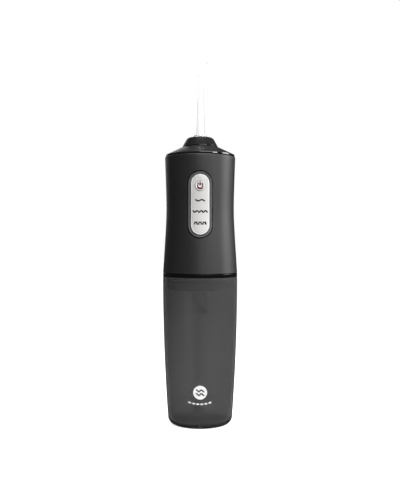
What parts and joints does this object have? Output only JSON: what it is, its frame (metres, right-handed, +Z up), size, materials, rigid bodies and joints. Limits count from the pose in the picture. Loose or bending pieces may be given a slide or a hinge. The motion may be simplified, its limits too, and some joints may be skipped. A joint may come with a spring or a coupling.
{
  "type": "water flosser",
  "caption": "Slim cordless water flosser: waisted handle with a control panel, turning nozzle with a bent jet tip, and a translucent lift-off water tank below.",
  "frame": {"origin": "centre of the tank's flat base, on the surface that the flosser stands on", "axes": "+Z up along the body's axis, -Y towards the control panel, +X to the panel's right as seen from the front"},
  "size_m": [0.0592, 0.0621, 0.2876],
  "materials": {
    "smoke_plastic": "smoky translucent moulded plastic, smooth",
    "soft_black": "soft-touch black coating with a satin sheen",
    "gloss_black": "polished black plastic",
    "silver_grey": "fine silver-grey paint with a bright edge",
    "white_plastic": "smooth white plastic",
    "clear_plastic": "clear polished plastic",
    "grey_abs": "grey moulded plastic",
    "black_rubber": "matt black silicone rubber",
    "steel": "plain bright steel",
    "brass": "machined brass",
    "nylon": "off-white nylon",
    "board_green": "green solder mask",
    "cell_wrap": "blue shrink wrap over a steel can"
  },
  "bodies": {
    "tank": {"tank": "smoke_plastic", "fill_door_pin": "steel"},
    "fill_door": {"fill_door": "smoke_plastic", "fill_door_seal": "smoke_plastic"},
    "handle": {"housing": "soft_black", "lower_plug": "gloss_black", "top_cap": "gloss_black", "control_panel": "silver_grey", "panel_bezel": "grey_abs", "chassis": "grey_abs", "mode_led_1": "white_plastic", "mode_led_2": "white_plastic", "mode_led_3": "white_plastic", "delivery_tube": "clear_plastic", "pickup_tube": "clear_plastic", "pickup_filter": "clear_plastic", "tank_seal": "black_rubber", "cap_seal": "black_rubber", "socket_seal": "black_rubber", "inlet_valve": "black_rubber", "outlet_valve": "black_rubber", "tactile_switch": "steel", "charge_socket": "steel", "motor_can": "steel", "gear_axle": "steel", "board_screw_1": "steel", "board_screw_2": "steel", "motor_screw_1": "steel", "motor_screw_2": "steel", "pump_screw_1": "steel", "pump_screw_2": "steel", "motor_end_cap": "nylon", "pump_body": "nylon", "nozzle_socket": "nylon", "circuit_board": "board_green", "battery_cell": "cell_wrap"},
    "power_button": {"power_button": "white_plastic"},
    "charge_port_cover": {"charge_port_cover": "black_rubber"},
    "release_button": {"release_button": "gloss_black", "release_latch": "steel"},
    "rotor": {"motor_shaft": "steel", "pinion": "brass"},
    "drive_gear": {"drive_gear": "nylon", "crank_pin": "steel"},
    "plunger": {"plunger": "nylon", "plunger_seal": "black_rubber"},
    "nozzle_collar": {"nozzle_collar": "gloss_black"},
    "jet_tip": {"jet_tip": "clear_plastic", "jet_tip_ring": "white_plastic"}
  },
  "joints": [
    {"name": "handle_lift", "type": "slide", "parent": "tank", "child": "handle", "axis": [0, 0, 1], "range_m": [0, 0.125]},
    {"name": "fill_door_hinge", "type": "hinge", "parent": "tank", "child": "fill_door", "pos_m": [0, 0.03107, 0.0847], "axis": [-1, 0, 0], "range_deg": [0, 100]},
    {"name": "power_press", "type": "slide", "parent": "handle", "child": "power_button", "axis": [0, 1, 0], "range_m": [0, 0.0005], "stiffness_N_per_m": 600},
    {"name": "port_cover_hinge", "type": "hinge", "parent": "handle", "child": "charge_port_cover", "pos_m": [-0.0066, 0.0274, 0.14], "axis": [0, 0, 1], "range_deg": [0, 110]},
    {"name": "release_press", "type": "slide", "parent": "handle", "child": "release_button", "axis": [0, -0.4268, -0.9044], "range_m": [0, 0.0008], "stiffness_N_per_m": 600},
    {"name": "motor_spin", "type": "hinge", "parent": "handle", "child": "rotor", "pos_m": [0.0092, 0.003, 0.171], "axis": [0, 0, 1], "continuous": true},
    {"name": "gear_spin", "type": "hinge", "parent": "handle", "child": "drive_gear", "pos_m": [0.0092, 0.0062, 0.1575], "axis": [0, 1, 0], "continuous": true},
    {"name": "plunger_stroke", "type": "slide", "parent": "handle", "child": "plunger", "axis": [0, 0, 1], "range_m": [-0.002, 0.002]},
    {"name": "nozzle_turn", "type": "hinge", "parent": "handle", "child": "nozzle_collar", "pos_m": [0, 0, 0.2196], "axis": [0, 0, 1], "continuous": true},
    {"name": "tip_pull", "type": "slide", "parent": "nozzle_collar", "child": "jet_tip", "axis": [0, 0, 1], "range_m": [0, 0.03]}
  ],
  "couplings": [
    {"joint": "gear_spin", "follows": "motor_spin", "ratio": -0.33333}
  ]
}
